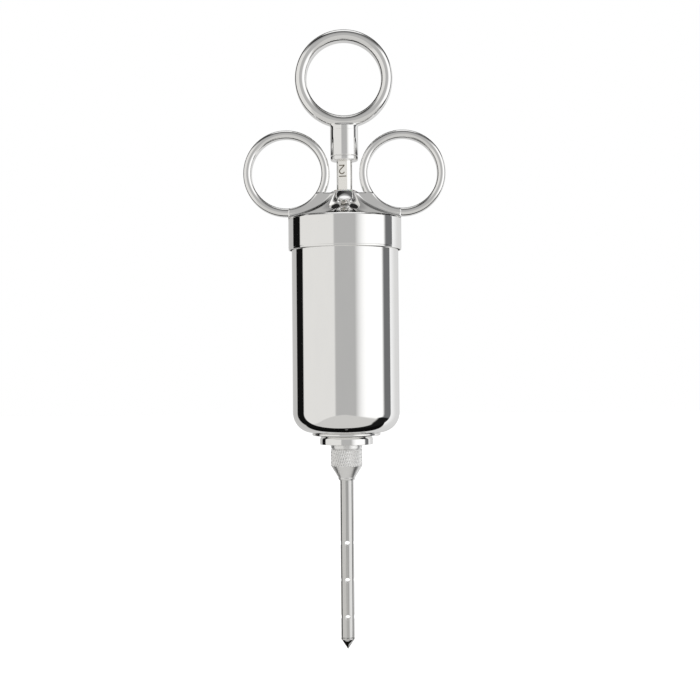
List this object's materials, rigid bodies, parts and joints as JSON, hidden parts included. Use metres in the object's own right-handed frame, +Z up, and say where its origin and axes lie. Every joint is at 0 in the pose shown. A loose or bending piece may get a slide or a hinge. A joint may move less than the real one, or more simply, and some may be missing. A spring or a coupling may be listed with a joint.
{
  "type": "meat injector",
  "caption": "Stainless steel marinade syringe with thumb and finger rings, a screw-on barrel and a cross-drilled needle.",
  "frame": {"origin": "on the barrel axis, level with the centres of the two finger rings, where two fingers and the palm hold the injector", "axes": "+Z up along the barrel axis towards the thumb ring, the needle pointing down -Z; +X through the finger rings to the right; +Y to the back, square to the plane of the rings"},
  "size_m": [0.0724, 0.0404, 0.2214],
  "materials": {
    "polished_steel": "mirror-polished stainless steel",
    "satin_steel": "satin, lengthwise grain on the needle, diamond knurl on the hub",
    "plain_steel": "turned stainless steel",
    "silicone": "food-grade silicone, soft matte",
    "acetal": "turned white acetal"
  },
  "bodies": {
    "cap": {"finger_ring_cap": "polished_steel", "rod_guide_bush": "acetal"},
    "piston_seals": {"piston_oring_upper": "silicone", "piston_oring_lower": "silicone"},
    "plunger": {"thumb_ring": "polished_steel", "plunger_rod": "polished_steel", "piston_top_washer": "plain_steel", "piston_body": "acetal", "piston_bottom_washer": "plain_steel", "piston_spring_washer": "plain_steel", "piston_nut": "plain_steel"},
    "barrel_seal": {"cap_gasket": "silicone"},
    "barrel": {"barrel": "polished_steel", "nozzle_gasket": "silicone", "nozzle_stud": "plain_steel", "base_washer": "polished_steel", "nozzle_nut": "polished_steel"},
    "needle_seal": {"needle_gasket": "silicone"},
    "needle": {"needle_hub": "satin_steel", "needle_tube": "satin_steel", "needle_tip": "satin_steel"}
  },
  "joints": [
    {"name": "plunger_slide", "type": "slide", "parent": "cap", "child": "piston_seals", "axis": [0, 0, 1], "range_m": [-0.005, 0.0515]},
    {"name": "plunger_turn", "type": "hinge", "parent": "piston_seals", "child": "plunger", "pos_m": [0, 0, 0], "axis": [0, 0, 1], "continuous": true},
    {"name": "barrel_turn", "type": "hinge", "parent": "cap", "child": "barrel_seal", "pos_m": [0, 0, -0.02], "axis": [0, 0, -1], "range_deg": [0, 1080]},
    {"name": "barrel_travel", "type": "slide", "parent": "barrel_seal", "child": "barrel", "axis": [0, 0, -1], "range_m": [0, 0.0075]},
    {"name": "needle_turn", "type": "hinge", "parent": "barrel", "child": "needle_seal", "pos_m": [0, 0, -0.1], "axis": [0, 0, -1], "range_deg": [0, 1260]},
    {"name": "needle_travel", "type": "slide", "parent": "needle_seal", "child": "needle", "axis": [0, 0, -1], "range_m": [0, 0.00438]}
  ],
  "couplings": [
    {"joint": "barrel_travel", "follows": "barrel_turn", "m_per_rad": 0.00039789},
    {"joint": "needle_travel", "follows": "needle_turn", "m_per_rad": 0.00019894}
  ]
}
